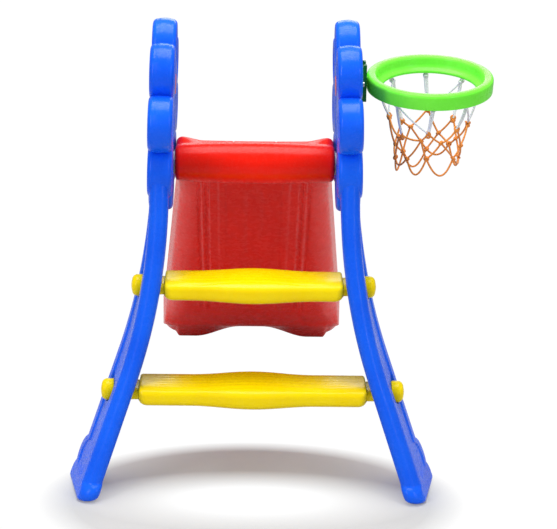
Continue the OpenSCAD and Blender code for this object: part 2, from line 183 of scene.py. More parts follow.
# normal turned by the slope of a height of the given depth in metres, over an earlier bump if there is one
def addBump(tree, height, distance, strength=1.0, after=None):
    node = addNode(tree, "ShaderNodeBump", Strength=strength, Distance=distance)
    tree.links.new(height, node.inputs["Height"])
    if after:
        tree.links.new(after, node.inputs["Normal"])
    return node.outputs["Normal"]


# moulded polyethylene: cloudy colour, paler worn edges, fine orange peel over a slow swell of the wall
mouldedLook = dict(peelSize=0.0016, peelDepth=0.000006, swellSize=0.05, swellDepth=0.0003,
                   cloudSize=0.09, wearStart=0.56, wearEnd=0.75, scuffSize=0.012, shine=0.16, coat=0.05)


# tone = mix(colour, deep, clouds), then mix(tone, worn, edges); roughness follows the scuffs
def mouldedPlastic(name, colour, deep, worn, rough=0.24, glow=0.06):
    look = mouldedLook
    material, tree, shader = newMaterial(name)
    clouds = addNoise(tree, look["cloudSize"], 2.0)
    tone = addColourMix(tree, addRange(tree, clouds.outputs["Fac"], 0.35, 0.65, 0.0, 1.0), colour, deep)
    shape = addNode(tree, "ShaderNodeNewGeometry")
    edge = addRange(tree, shape.outputs["Pointiness"], look["wearStart"], look["wearEnd"], 0.0, 0.3)
    tree.links.new(addColourMix(tree, edge, tone, worn), shader.inputs["Base Color"])
    scuffs = addNoise(tree, look["scuffSize"], 8.0, 0.65)
    tree.links.new(addRange(tree, scuffs.outputs["Fac"], 0.3, 0.8, rough - 0.05, rough + 0.14),
                   shader.inputs["Roughness"])
    swell = addNoise(tree, look["swellSize"], 1.0)
    peel = addNoise(tree, look["peelSize"], 2.0)
    slow = addBump(tree, swell.outputs["Fac"], look["swellDepth"])
    tree.links.new(addBump(tree, peel.outputs["Fac"], look["peelDepth"], after=slow), shader.inputs["Normal"])
    shader.inputs["IOR"].default_value = 1.5
    shader.inputs["Specular IOR Level"].default_value = look["shine"]
    shader.inputs["Coat Weight"].default_value = look["coat"]
    shader.inputs["Coat Roughness"].default_value = 0.08
    shader.inputs["Subsurface Weight"].default_value = glow
    shader.inputs["Subsurface Radius"].default_value = (0.012, 0.012, 0.012)
    shader.inputs["Subsurface Scale"].default_value = 0.4
    return material


bluePlastic = mouldedPlastic("blue moulding", (0.007, 0.135, 1.0), (0.005, 0.11, 0.92), (0.08, 0.32, 1.0))
yellowPlastic = mouldedPlastic("yellow moulding", (1.0, 0.78, 0.001), (1.0, 0.72, 0.0), (1.0, 0.86, 0.1))
redPlastic = mouldedPlastic("red moulding", (0.98, 0.013, 0.003), (0.92, 0.010, 0.002), (1.0, 0.08, 0.03))
greenPlastic = mouldedPlastic("green moulding", (0.22, 1.0, 0.07), (0.17, 0.95, 0.05), (0.4, 1.0, 0.2))
bracketPlastic = mouldedPlastic("dark green moulding", (0.0, 0.17, 0.035), (0.0, 0.12, 0.025),
                                (0.03, 0.3, 0.08))
nylonPlastic = mouldedPlastic("white nylon", (0.83, 0.83, 0.81), (0.76, 0.76, 0.74), (0.9, 0.9, 0.9), 0.34)
badgeFilm = mouldedPlastic("badge film", (0.86, 0.16, 0.12), (0.8, 0.12, 0.1), (0.95, 0.4, 0.3), 0.3, 0.0)


# zinc-plated steel: fine drawn lines round the axis and cloudy patches of plating
def platedSteel():
    material, tree, shader = newMaterial("plated steel")
    lines = addNoise(tree, 0.004, 4.0, stretch=(14, 1, 1))
    cloud = addNoise(tree, 0.02, 2.0)
    tone = addColourMix(tree, cloud.outputs["Fac"], (0.62, 0.63, 0.66), (0.48, 0.49, 0.5))
    tree.links.new(tone, shader.inputs["Base Color"])
    tree.links.new(addRange(tree, lines.outputs["Fac"], 0.3, 0.7, 0.2, 0.42), shader.inputs["Roughness"])
    tree.links.new(addBump(tree, lines.outputs["Fac"], 0.00003), shader.inputs["Normal"])
    shader.inputs["Metallic"].default_value = 1.0
    return material


# laid cord: three strands wind round it, drawn as slanted bands on the cord's own map, with painted shade in
# the grooves between them and fuzz on them;
# a wave repeats every 2 pi / (10 scale), so a scale of 0.2 pi times the strands closes round the cord
def laidCord(name, colour, shade):
    material, tree, shader = newMaterial(name)
    place = addNode(tree, "ShaderNodeTexCoord")
    bands = addNode(tree, "ShaderNodeTexWave", Scale=0.2 * math.pi * 3, Distortion=0.0)
    bands.bands_direction = "DIAGONAL"
    tree.links.new(place.outputs["UV"], bands.inputs["Vector"])
    fuzz = addNoise(tree, 0.0007, 4.0)
    # painted shade: the grooves between the strands go towards the shade colour, and the fuzz mottles that
    # colour in at random as well
    tone = addColourMix(tree, bands.outputs["Fac"], shade, colour)
    mottled = addColourMix(tree, addRange(tree, fuzz.outputs["Fac"], 0.3, 0.7, 0.0, 0.3), tone, shade)
    tree.links.new(mottled, shader.inputs["Base Color"])
    tree.links.new(addRange(tree, fuzz.outputs["Fac"], 0.3, 0.7, 0.6, 0.9), shader.inputs["Roughness"])
    first = addBump(tree, bands.outputs["Fac"], 0.0003)
    tree.links.new(addBump(tree, fuzz.outputs["Fac"], 0.0001, after=first), shader.inputs["Normal"])
    shader.inputs["Sheen Weight"].default_value = 0.3
    shader.inputs["Sheen Roughness"].default_value = 0.5
    return material


steel = platedSteel()
whiteCord = laidCord("white cord", (0.93, 0.94, 0.97), (0.8, 0.81, 0.84))
orangeCord = laidCord("orange cord", (0.98, 0.36, 0.04), (0.82, 0.22, 0.015))
print("materials are ready")


# quads of a grid whose point (i, j) has the number start + i * columns + j
def gridFaces(rows, columns, wrapRows=False, wrapColumns=False, start=0):
    i, j = np.meshgrid(np.arange(rows - (not wrapRows)), np.arange(columns - (not wrapColumns)), indexing="ij")
    nextI, nextJ = (i + 1) % rows, (j + 1) % columns
    corners = (i * columns + j, nextI * columns + j, nextI * columns + nextJ, i * columns + nextJ)
    return start + np.stack(corners, -1).reshape(-1, 4)


# a row of points round an end and the point in its middle, as triangles
def fanFaces(ring, middle):
    return np.stack([np.full(len(ring), middle), ring, np.roll(ring, -1)], -1)


# rows of closed rings as one closed skin: each end is shut by a fan round the middle of its ring
def shutTube(rings):
    rows, columns, _ = rings.shape
    points = np.concatenate([rings.reshape(-1, 3), rings[:1].mean(1), rings[-1:].mean(1)])
    first, last = np.arange(columns), np.arange(columns) + (rows - 1) * columns
    triangles = np.concatenate([fanFaces(first, rows * columns), fanFaces(last[::-1], rows * columns + 1)])
    return points, gridFaces(rows, columns, wrapColumns=True), triangles


# six times the volume = sum of a . (b x c) over the triangles; a negative one means the skin is inside out
def turnOutwards(points, quads, triangles):
    flat = np.concatenate([quads[:, [0, 1, 2]], quads[:, [0, 2, 3]], triangles])
    a, b, c = (points[flat[:, k]] for k in range(3))
    if np.einsum("ij,ij->", a - points.mean(0), np.cross(b - points.mean(0), c - points.mean(0))) < 0:
        return quads[:, ::-1], triangles[:, ::-1]
    return quads, triangles


# where a quad crosses the seam of a map that goes round, its low corners move on by one turn
def closedMap(uv, quadCount):
    u = uv[:4 * quadCount, 0].reshape(-1, 4)
    across = u.max(1, keepdims=True) - u.min(1, keepdims=True) > 0.5
    uv[:4 * quadCount, 0] = (u + (across & (u < 0.5))).ravel()
    return uv


# points and faces as a smooth-shaded mesh object
def addMesh(name, points, quads, triangles, sharpAngle=40, uv=None):
    triangles = np.asarray(triangles, int).reshape(-1, 3)
    quads = np.asarray(quads, int).reshape(-1, 4)
    data = bpy.data.meshes.new(name)
    data.vertices.add(len(points))
    data.vertices.foreach_set("co", np.ascontiguousarray(points, "f").ravel())
    corners = np.concatenate([quads.ravel(), triangles.ravel()])
    counts = np.concatenate([np.full(len(quads), 4), np.full(len(triangles), 3)])
    data.loops.add(len(corners))
    data.loops.foreach_set("vertex_index", corners.astype("i"))
    data.polygons.add(len(counts))
    data.polygons.foreach_set("loop_start", np.concatenate([[0], np.cumsum(counts)[:-1]]).astype("i"))
    data.polygons.foreach_set("loop_total", counts.astype("i"))
    if uv is not None:
        layer = data.uv_layers.new(name="lay")
        layer.data.foreach_set("uv", closedMap(uv[corners], len(quads)).astype("f").ravel())
    data.update(calc_edges=True)
    data.validate()
    item = bpy.data.objects.new(name, data)
    bpy.context.scene.collection.objects.link(item)
    smooth(item, sharpAngle)
    return item


# smooth shading, with edges sharper than the angle kept crisp
def smooth(item, sharpAngle):
    item.data.polygons.foreach_set("use_smooth", np.ones(len(item.data.polygons), bool))
    item.data.set_sharp_from_angle(angle=math.radians(sharpAngle))


# several closed skins as one mesh in the frame
def addShell(name, skins, sharpAngle=40, uv=None):
    points, quads, triangles, start = [], [], [], 0
    for skin in skins:
        p, q, t = skin
        q, t = turnOutwards(p, q, t)
        points.append(p)
        quads.append(q + start)
        triangles.append(t + start)
        start += len(p)
    allPoints = toFrame(np.concatenate(points))
    return addMesh(name, allPoints, np.concatenate(quads), np.concatenate(triangles), sharpAngle, uv)


# exact union or difference with a tool, which is then gone
def joinOrCut(item, tool, operation, sharpAngle=40):
    change = item.modifiers.new(operation, "BOOLEAN")
    change.operation, change.object, change.solver = operation, tool, "EXACT"
    result = bpy.data.meshes.new_from_object(item.evaluated_get(bpy.context.evaluated_depsgraph_get()))
    item.modifiers.clear()
    item.data = result
    result.name = item.name
    bpy.data.objects.remove(tool)
    smooth(item, sharpAngle)
    return item


# (x, y, z) becomes (side x, y, z), where side is 1 or -1
def turned(skin, side):
    points, quads, triangles = skin
    return points * np.array([side, 1, 1]), quads, triangles


# one material, the body it rides, its slot (not used) and the CAD nodes that it stands for
def finishPiece(item, body, material, slot, *nodes):
    item.data.materials.clear()
    item.data.materials.append(material)
    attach(item, body)
    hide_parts(*nodes)
    print(item.name, "has", len(item.data.polygons), "faces")


# t = (x - start) / (end - start) kept within 0 and 1, then 3 t^2 - 2 t^3
def smoothStep(x, start, end):
    t = np.clip((x - start) / (end - start), 0, 1)
    return t * t * (3 - 2 * t)


# radius of a skin of revolution about an axis along x: rings of count points round each (x, radius)
def spinAboutX(profile, y, z, count=72):
    profile = np.asarray(profile, float)
    turn = np.linspace(0, 2 * np.pi, count, endpoint=False)
    x = np.repeat(profile[:, :1], count, 1)
    return shutTube(np.stack([x, y + profile[:, 1:] * np.cos(turn), z + profile[:, 1:] * np.sin(turn)], -1))


# quarter of a circle from (x, r - rounding) out to (x + rounding * way, r)
def roundedEnd(x, radius, rounding, way, count=8):
    turn = np.linspace(0, np.pi / 2, count)
    return np.stack([x + way * rounding * (1 - np.cos(turn)), radius - rounding + rounding * np.sin(turn)], -1)


panel = dict(height=700, neckGap=257, bendR=600, lean=1.2, splayIn=22.3, splayOut=23.3, bendTilt=26,
             neckT=29, gripT=37, rake=82, legDepth=104, bendAbove=-13, neckZ=450,
             heel=(16, 16, 12), lobes=((24, 104, 50), (20, 108, 15)), soleRound=7, edgeRound=14.5,
             bandWidth=27, bandDepth=2.2, bandEase=5, legTop=492)
flower = dict(petals=8, turn=4, ring=104, petalR=42, rim=7.5, rimCrown=1.6, coreR=84, coreSink=1.2, y=207,
              dishR=27, dishDepth=2.0, hubR=46, hubDepth=1.6, blend=0.9)
stepMiddles = (154.5, 311.5)
spot = dict(radius=18.5, depth=8, rise=34)


# cosine and sine of an angle in degrees
def cosDeg(angle):
    return math.cos(math.radians(angle))


def sinDeg(angle):
    return math.sin(math.radians(angle))


# a leg's face: a long arc about a line that tilts up to the front, running on below as a straight slant;
# w = z cos tilt - y sin tilt says how far above that line's foot a point is
def legFace(y, z, start, splay):
    p = panel
    w = z * cosDeg(p["bendTilt"]) - y * sinDeg(p["bendTilt"])
    top = (p["neckZ"] * cosDeg(p["bendTilt"]) - p["rake"] * sinDeg(p["bendTilt"]) + p["bendAbove"]
           + p["bendR"] * sinDeg(p["lean"]))
    end = top - p["bendR"] * sinDeg(splay)
    arc = start + p["bendR"] * cosDeg(p["lean"]) - np.sqrt(np.maximum(p["bendR"] ** 2 - (top - w) ** 2, 0))
    slant = start + p["bendR"] * (cosDeg(p["lean"]) - cosDeg(splay)) + (end - w) * math.tan(math.radians(splay))
    return np.where(w >= end, arc, slant)


# the two faces of a leg: half the gap from the middle, and the neck's thickness beyond it
def legInner(y, z):
    return legFace(y, z, panel["neckGap"] / 2, panel["splayIn"])


# outer face = inner face's start + the thickness at the neck
def legOuter(y, z):
    return legFace(y, z, panel["neckGap"] / 2 + panel["neckT"], panel["splayOut"])


# how far a circle reaches along y at height z, or nothing where it doesn't
def circleReach(z, radius, y, middle, way):
    inside = np.maximum(radius ** 2 - (z - middle) ** 2, 0)
    return np.where(inside > 0, y + way * np.sqrt(inside), -way * 1e4)


# rear edge = the raked line or the heel's circle; front edge = the line or the toes' circles
def legEdges(z):
    p = panel
    heelR, heelY, heelZ = p["heel"]
    raked = heelR / 3 + (p["rake"] - heelR / 3) * z / p["neckZ"]
    rear = np.minimum(raked, circleReach(z, heelR, heelY, heelZ, -1))
    lobeR, lobeY, lobeZ = p["lobes"][0]
    front = np.where(z > p["neckZ"], p["rake"] + p["legDepth"],
                     lobeY + (p["rake"] + p["legDepth"] - lobeY) * (z - lobeZ) / (p["neckZ"] - lobeZ))
    for radius, y, middle in p["lobes"]:
        front = np.maximum(front, circleReach(z, radius, y, middle, 1))
    return rear, front


# section of the leg at each height: both ends are half ellipses, and inside a border band each face is sunk
def legSkin():
    p = panel
    start = np.linspace(0, np.pi / 2, 9)
    z = np.concatenate([p["soleRound"] * (1 - np.cos(start)), np.linspace(p["soleRound"], 110, 60)[1:],
                        np.linspace(110, p["legTop"], 150)[1:]])
    inset = np.concatenate([p["soleRound"] * (1 - np.sin(start)), np.zeros(len(z) - len(start))])
    rear, front = legEdges(z)
    rear, front = rear + inset, front - inset
    arc = np.linspace(0, np.pi, 25)
    share = np.linspace(0, 1, 58)[1:-1]
    # along = distance from the rear edge (start of the ring), across = -1 inner face .. 1 outer face
    ends = p["edgeRound"] * (1 - np.sin(arc))
    depth = (front - rear)[:, None]
    straight = p["edgeRound"] + share * (depth - 2 * p["edgeRound"])
    along = np.concatenate([np.repeat(ends[None], len(z), 0), straight,
                            depth - np.repeat(ends[None], len(z), 0), straight[:, ::-1]], 1)
    across = np.concatenate([-np.cos(arc), np.ones(len(share)), np.cos(arc), -np.ones(len(share))])
    fromEdge = np.minimum(along, depth - along)
    sunk = p["bandDepth"] * smoothStep(fromEdge, p["bandWidth"], p["bandWidth"] + p["bandEase"])
    sunk = sunk * smoothStep(z, 26, 40)[:, None]
    y = rear[:, None] + along
    inner, outer = legInner(y, z[:, None]), legOuter(y, z[:, None])
    half = (outer - inner) / 2 - inset[:, None] - np.where(np.abs(across) > 0.99, sunk, 0)
    x = (inner + outer) / 2 + across * half
    return shutTube(np.stack([x, y, np.broadcast_to(z[:, None], y.shape)], -1))


# the flower is one thick disc: round pads and a core, each with a rounded rim, joined by a soft maximum;
# its rim at each angle is where the pads end, found by halving the interval
def flowerSkin():
    p, f = panel, flower
    lines = 8 * 48
    angle = np.linspace(0, 2 * np.pi, lines, endpoint=False) + math.radians(f["turn"])
    petalAngle = np.arange(f["petals"]) * 2 * np.pi / f["petals"] + math.radians(f["turn"])
    centres = f["ring"] * np.stack([np.sin(petalAngle), np.cos(petalAngle)], -1)
    ray = np.stack([np.sin(angle), np.cos(angle)], -1)

    def depthInside(points):
        return f["petalR"] - np.linalg.norm(points[..., None, :] - centres, axis=-1)

    low, high = np.full(lines, 90.0), np.full(lines, 160.0)
    for _ in range(30):
        middle = (low + high) / 2
        inside = depthInside(ray * middle[:, None]).max(-1) > 0
        low, high = np.where(inside, middle, low), np.where(inside, high, middle)
    reach = low
    half, rim = p["gripT"] / 2, f["rim"]
    # rings from the middle to the rim, closer together towards the rim
    share = np.sin(np.linspace(0, np.pi / 2, 70)) ** 0.9
    share = share[1:]
    points = ray[None] * (share[:, None, None] * reach[None, :, None])
    inside = depthInside(points)
    pad = half - rim + rim * np.sqrt(1 - (1 - np.clip(inside / rim, 0, 1)) ** 2)
    fromPetal = f["petalR"] - inside
    pad = pad - f["dishDepth"] * (1 - smoothStep(fromPetal, f["dishR"] - 4, f["dishR"]))
    pad = np.where(inside > 0, pad, 0)
    fromMiddle = np.linalg.norm(points, axis=-1)
    core = half - f["coreSink"] - 6 + 6 * np.sqrt(1 - (1 - np.clip((f["coreR"] - fromMiddle) / 6, 0, 1)) ** 2)
    core = core - f["hubDepth"] * (1 - smoothStep(fromMiddle, f["hubR"] - 4, f["hubR"]))
    core = np.where(fromMiddle < f["coreR"], core, 0)
    stack = np.concatenate([pad, core[..., None]], -1)
    height = f["blend"] * np.log(np.exp(stack / f["blend"]).sum(-1))
    height = np.minimum(height, half)
    front = np.concatenate([height[..., None], points], -1)
    # a band round the rim, a little crowned
    crown = np.linspace(1, -1, 9)[1:-1]
    flat = height[-1]
    band = np.stack([np.repeat(flat[None] * 1.0, 7, 0) * crown[:, None],
                     ray[None, :, 0] * (reach + f["rimCrown"] * (1 - crown[:, None] ** 2)),
                     ray[None, :, 1] * (reach + f["rimCrown"] * (1 - crown[:, None] ** 2))], -1)
    back = front[::-1] * np.array([-1, 1, 1])
    rings = np.concatenate([front, band, back])
    points, quads, triangles = shutTube(rings)
    x, y, z = points.T
    gripX = p["neckGap"] / 2 - (p["gripT"] - p["neckT"]) / 2
    gripZ = p["height"] - f["ring"] * cosDeg(f["turn"]) - f["petalR"]
    rise = (gripZ - p["neckZ"]) / cosDeg(p["lean"])
    x, y, z = x + half, y + f["y"], z + rise
    lean = math.radians(p["lean"])
    placed = np.stack([gripX + x * math.cos(lean) - z * math.sin(lean), y,
                       p["neckZ"] + x * math.sin(lean) + z * math.cos(lean)], -1)
    return placed, quads, triangles


# an outline drawn along x from near to far
def slabAlongX(outline, near, far):
    rings = np.stack([np.concatenate([np.full((len(outline), 1), x), outline], 1) for x in (near, far)])
    return shutTube(rings)


# how far a step's middle line stands behind the leg's rear edge
def stepY(z):
    return panel["rake"] * z / panel["neckZ"] + step["bulge"] + step["depth"] / 2


step = dict(depth=88, thick=33, bulge=10, bulgeWidth=190, swell=3.0, neck=3, tenonDepth=62, tenonThick=18.5,
            tenonIn=5, edge=3.2, endTop=4, endBelow=13, ribPitch=12.5, ribDepth=0.45, ribs=7)


# the recess for a knob: a slot with round ends, from the knob upwards
def spotSkin(z):
    turn = np.linspace(0, np.pi, 25)
    low = np.stack([np.cos(turn + np.pi), np.sin(turn + np.pi)], -1) * spot["radius"]
    high = np.stack([np.cos(turn), np.sin(turn)], -1) * spot["radius"] + np.array([0, spot["rise"]])
    outline = np.concatenate([low, high]) + np.array([stepY(z), z])
    near = float(legOuter(stepY(z), z)) - spot["depth"]
    return slabAlongX(outline, near, near + 120)


for side, name in ((1, "right"), (-1, "left")):
    shell = addShell("side_panel_" + name + "_shell", [turned(legSkin(), side)])
    shell = joinOrCut(shell, addShell("grip", [turned(flowerSkin(), side)]), "UNION")
    for middle in stepMiddles:
        shell = joinOrCut(shell, addShell("spot", [turned(spotSkin(middle), side)]), "DIFFERENCE")
    finishPiece(shell, "ladder", bluePlastic, "blue_plastic", "side_panel_" + name)
print("side panels are made")


# half depth and half thickness along a step: both grow in the middle as a raised cosine
def stepSize(x):
    s = step
    middle = np.where(np.abs(x) < s["bulgeWidth"] / 2, 0.5 + 0.5 * np.cos(2 * np.pi * x / s["bulgeWidth"]), 0)
    return s["depth"] / 2 + s["bulge"] * middle, s["thick"] / 2 + s["swell"] * middle


# section = a rounded box |y/a|^n + |z/b|^n = 1, with ribs as a cosine of y pressed into its top;
# an end is rounded by pulling its last rings in, more below than above
def stepSkin(z):
    s = step
    y = stepY(z)
    seat = float(legInner(y, z)) + s["tenonIn"] - 0.3
    end = float(legInner(y - s["depth"] / 2, z + s["thick"] / 2)) - s["neck"]
    turn = np.linspace(0, np.pi / 2, 12)
    body = np.linspace(0, 1, 90)
    rows = len(body) + len(turn) - 1
    angle = np.linspace(0, 2 * np.pi, 240, endpoint=False)
    rounding = s["endBelow"] + (s["endTop"] - s["endBelow"]) * smoothStep(np.sin(angle), -0.3, 0.75)
    x = np.concatenate([body[:, None] * (end - rounding), end - rounding + rounding * np.sin(turn[1:, None])])
    inset = np.concatenate([np.zeros((len(body), len(angle))), rounding * (1 - np.cos(turn[1:, None]))])
    depth, thick = stepSize(x)
    depth, thick = depth - inset, thick - inset * 0.6
    # the tenon that goes into the leg
    tenon = np.array([[end + 0.2, 2], [end + 1.0, 0], [seat, 0]])
    x = np.concatenate([x, np.repeat(tenon[:, :1], len(angle), 1)])
    depth = np.concatenate([depth, np.repeat(s["tenonDepth"] / 2 + tenon[:, 1:], len(angle), 1)])
    thick = np.concatenate([thick, np.repeat(s["tenonThick"] / 2 + tenon[:, 1:], len(angle), 1)])
    x = np.concatenate([-x[:0:-1], x])
    depth, thick = (np.concatenate([v[:0:-1], v]) for v in (depth, thick))
    power = 2 / s["edge"]
    across = np.sign(np.cos(angle)) * np.abs(np.cos(angle)) ** power * depth
    up = np.sign(np.sin(angle)) * np.abs(np.sin(angle)) ** power * thick
    reach = s["ribPitch"] * s["ribs"] / 2
    rib = 0.5 + 0.5 * np.cos(2 * np.pi * across / s["ribPitch"])
    fade = smoothStep(np.abs(x), end - 14, end - 40)
    edgeFade = 1 - smoothStep(np.abs(across), reach - 4, reach)
    up = up - np.where(np.sin(angle) > 0, s["ribDepth"] * rib ** 3 * fade * edgeFade, 0)
    return shutTube(np.stack([x, y + across, z + up], -1))


for middle, name in zip(stepMiddles, ("lower", "upper")):
    board = addShell("step_" + name + "_board", [stepSkin(middle)], 50)
    finishPiece(board, "ladder", yellowPlastic, "yellow_plastic", "step_" + name)

knob = dict(radius=16.5, height=19, round=8.5, crown=1.2, screwR=7, grip=39, lead=2)


# spun profile: screw tip, shank, flat underside, barrel, rounded shoulder, crowned top
def knobSkin(z):
    k = knob
    y = stepY(z)
    base = float(legOuter(y, z)) - spot["depth"]
    tip = float(legInner(y, z)) + step["tenonIn"] - k["grip"]
    turn = np.linspace(0, np.pi / 2, 12)
    shoulder = np.stack([base + k["height"] - k["round"] + k["round"] * np.sin(turn),
                         k["radius"] - k["round"] + k["round"] * np.cos(turn)], -1)
    out = np.linspace(k["radius"] - k["round"], 0.4, 8)[1:]
    top = np.stack([base + k["height"] + k["crown"] * (1 - (out / (k["radius"] - k["round"])) ** 2), out], -1)
    profile = [(tip, k["screwR"] - 3), (tip + k["lead"], k["screwR"] - 1), (tip + 2 * k["lead"], k["screwR"]),
               (base, k["screwR"]), (base + 0.1, k["radius"] - 1.5), (base + 1.6, k["radius"])]
    return spinAboutX(np.concatenate([profile, shoulder, top]), y, z)


for middle, name in zip(stepMiddles, ("lower", "upper")):
    pair = addShell("step_knobs_" + name + "_pair", [knobSkin(middle), turned(knobSkin(middle), -1)], 50)
    finishPiece(pair, "ladder", yellowPlastic, "yellow_plastic", "step_knobs_" + name)
print("steps and knobs are made")


chute = dict(slope=41, bed=30, railHeight=52, railRise=75, crestR=50, crestRail=7, runR=135,
             endZ=38, tail=26, endHalf=163, narrowHalf=120.9, narrowEnd=363, archTop=22, archFlat=18,
             footIn=104, footOut=134, soleReach=20, footRise=0.62, footSoft=5.0, footStart=738,
             sideRound=36, sideRise=30, topRound=12,
             wallIn=17, wallFoot=36, lip=8, dish=1.5)
roll = dict(y=200, radius=28, crown=4, end=121.8, round=7)
# place across, half width, depth (a negative one stands proud), start and end along y
underGrooves = ((76, 4.5, 3.5, 262, 690), (88, 4.0, 2.5, 262, 690), (51, 8, -1.6, 250, 690),
                (0, 17, 3.0, 312, 680), (0, 5, -2.2, 246, 292))
bedLines = ((-33, 1.6, 1.3, 214, 620), (33, 1.6, 1.3, 214, 620))
pivotZ = (panel["height"] - flower["ring"] * cosDeg(flower["turn"]) - flower["petalR"]) - 72
crestY, crestTop = roll["y"] + roll["radius"], pivotZ + roll["radius"]
tanSlope = math.tan(math.radians(chute["slope"]))
slopeTop = (crestY + chute["crestR"] * sinDeg(chute["slope"]),
            crestTop - chute["crestR"] * (1 - cosDeg(chute["slope"])))
runZ = chute["endZ"] + chute["runR"] * (1 - cosDeg(chute["slope"]))
slopeEndY = slopeTop[0] + (slopeTop[1] - runZ) / tanSlope
runMidY = slopeEndY + chute["runR"] * sinDeg(chute["slope"])
chuteEnd = runMidY + chute["tail"]


# bed = level, then an arc over the crest, a straight slope, an arc that runs out, and a level tail
def bedZ(y):
    c = chute
    crest = crestTop - c["crestR"] + np.sqrt(np.maximum(c["crestR"] ** 2 - (y - crestY) ** 2, 0))
    slope = slopeTop[1] - (y - slopeTop[0]) * tanSlope
    run = c["endZ"] + c["runR"] - np.sqrt(np.maximum(c["runR"] ** 2 - (runMidY - y) ** 2, 0))
    where = [y < crestY, y < slopeTop[0], y < slopeEndY, y < runMidY]
    return np.select(where, [crestTop, crest, slope, run], c["endZ"])


# rail top = the lower of a gentle line from the crest and the slope raised by the rail, softly joined,
# falling to the bed along an arc at the lower end
def railZ(y):
    c = chute
    startY = slopeTop[0] + c["railHeight"] * sinDeg(c["slope"]) + c["railRise"] * cosDeg(c["slope"])
    startZ = slopeTop[1] + c["railHeight"] * cosDeg(c["slope"]) - c["railRise"] * sinDeg(c["slope"])
    gentle = crestTop + c["crestRail"] + (y - crestY) * (startZ - crestTop - c["crestRail"]) / (startY - crestY)
    radius = c["runR"] - c["railHeight"]
    middleZ = c["endZ"] + c["runR"]
    arc = middleZ - np.sqrt(np.maximum(radius ** 2 - (runMidY - y) ** 2, 0))
    slope = startZ - (y - startY) * tanSlope
    arcStart = runMidY - radius * sinDeg(c["slope"])
    lower = np.where(y < arcStart, slope, np.where(y < runMidY, arc, middleZ - radius))
    k = 7.0
    soft = -k * np.log(np.exp(-gentle / k) + np.exp(-lower / k))
    soft = np.where(y < crestY - 4, crestTop + c["crestRail"] * smoothStep(y, crestY - 26, crestY - 2), soft)
    fall = smoothStep(y, runMidY - 26, chuteEnd - 5)
    return bedZ(y) + np.maximum(soft - bedZ(y), 0) * (1 - fall)


# half width = a straight line between the narrow end and the wide end, level beyond both
def halfWidth(y):
    c = chute
    return np.interp(y, [c["narrowEnd"], chuteEnd - 60], [c["narrowHalf"], c["endHalf"]])


# underside = the bed lowered by the wall's depth, with two feet and an arch between them at the lower end
def underZ(x, y):
    c = chute
    deep = c["bed"] / cosDeg(c["slope"])
    base = np.interp(y, [200, 222, 241], [470, 464, 471])
    base = np.where(y > 241, bedZ(np.maximum(y, slopeTop[0])) - deep, base)
    base = np.where((y > 241) & (y < slopeTop[0]), slopeTop[1] - deep - (y - slopeTop[0]) * tanSlope, base)
    thinner = bedZ(y) - np.interp(y, [640, 700, 740, 768, 800, chuteEnd], [deep, 30, 20, 13, 9, 15])
    base = np.where(y > 640, thinner, base)
    across = np.abs(x)
    arch = c["archTop"] * (1 - smoothStep(across, c["archFlat"], c["footIn"]))
    share = np.clip((across - c["footOut"]) / (c["endHalf"] - c["footOut"]), 0, 1)
    outside = 26 * (1 - np.sqrt(1 - share ** 2)) + 9 * smoothStep(across, c["footOut"], c["footOut"] + 9)
    foot = arch + outside + c["footRise"] * np.maximum(chuteEnd - c["soleReach"] - y, 0)
    k = c["footSoft"]
    soft = -k * np.log(np.exp(-np.minimum(base, 200) / k) + np.exp(-np.minimum(foot, 200) / k))
    level = np.where(y > c["footStart"], soft, base)
    level = base + (level - base) * smoothStep(y, c["footStart"], c["footStart"] + 24)
    for place, half, depth, start, end in underGrooves:
        inside = 1 - smoothStep(np.abs(across - place), half * 0.5, half)
        level = level + depth * inside * smoothStep(y, start, start + 14) * (1 - smoothStep(y, end - 40, end))
    return level


# section at each y: round the rail tops and the corners, down to the bed, then back along the underside
def chuteSkin():
    c = chute
    turn = np.linspace(0, np.pi / 2, 9)
    lipStart = chuteEnd - c["lip"]
    y = np.concatenate([np.linspace(roll["y"] + 4, 300, 50), np.linspace(300, 700, 70)[1:],
                        np.linspace(700, lipStart, 76)[1:], lipStart + c["lip"] * np.sin(turn[1:])])
    inset = np.concatenate([np.zeros(len(y) - 8), c["lip"] * (1 - np.cos(turn[1:]))])[:, None]
    fine = (1 - np.cos(np.linspace(0, np.pi / 2, 12)))
    fromWall = np.concatenate([fine * 12, np.linspace(12, 44, 26)[1:]])
    inner = np.linspace(0, 1, 66)[1:]
    half = halfWidth(y)[:, None]
    outer = half - fromWall
    right = np.concatenate([outer, (half - 44) * (1 - inner)], 1)
    x = np.concatenate([right, -right[:, -2::-1]], 1)
    y2 = np.broadcast_to(y[:, None], x.shape)
    gap = half - np.abs(x)
    wallIn = np.interp(y2, [crestY, 330], [1, c["wallIn"]])
    wall = 1 - smoothStep(gap, wallIn, np.interp(y2, [crestY, 330], [43, c["wallFoot"]]))
    top = bedZ(y2) + (railZ(y2) - bedZ(y2)) * wall - c["dish"] * (1 - wall) * (1 - (x / half) ** 2)
    corner = 1 - np.clip(gap / c["topRound"], 0, 1)
    top = top - c["topRound"] * 0.8 * (1 - np.sqrt(1 - corner ** 2))
    for place, width, depth, start, end in bedLines:
        line = 1 - smoothStep(np.abs(x - place), width * 0.3, width)
        top = top - depth * line * smoothStep(y2, start, start + 6) * (1 - smoothStep(y2, end - 60, end))
    under = underZ(x, y2)
    corner = 1 - np.clip(gap / c["sideRound"], 0, 1)
    rise = c["sideRise"] * (1 - 0.85 * smoothStep(y2, c["footStart"] - 60, c["footStart"] + 40))
    under = under + rise * (1 - np.sqrt(1 - corner ** 2))
    under = np.minimum(under, top - 6)
    top, under = top - inset * 0.8, under + inset * 0.8
    under = np.minimum(under, top - 1)
    narrow = (half - inset) / half
    upper, lower = (np.stack([x * narrow, y2, level], -1) for level in (top, under))
    return shutTube(np.concatenate([upper, lower[:, ::-1]], 1))


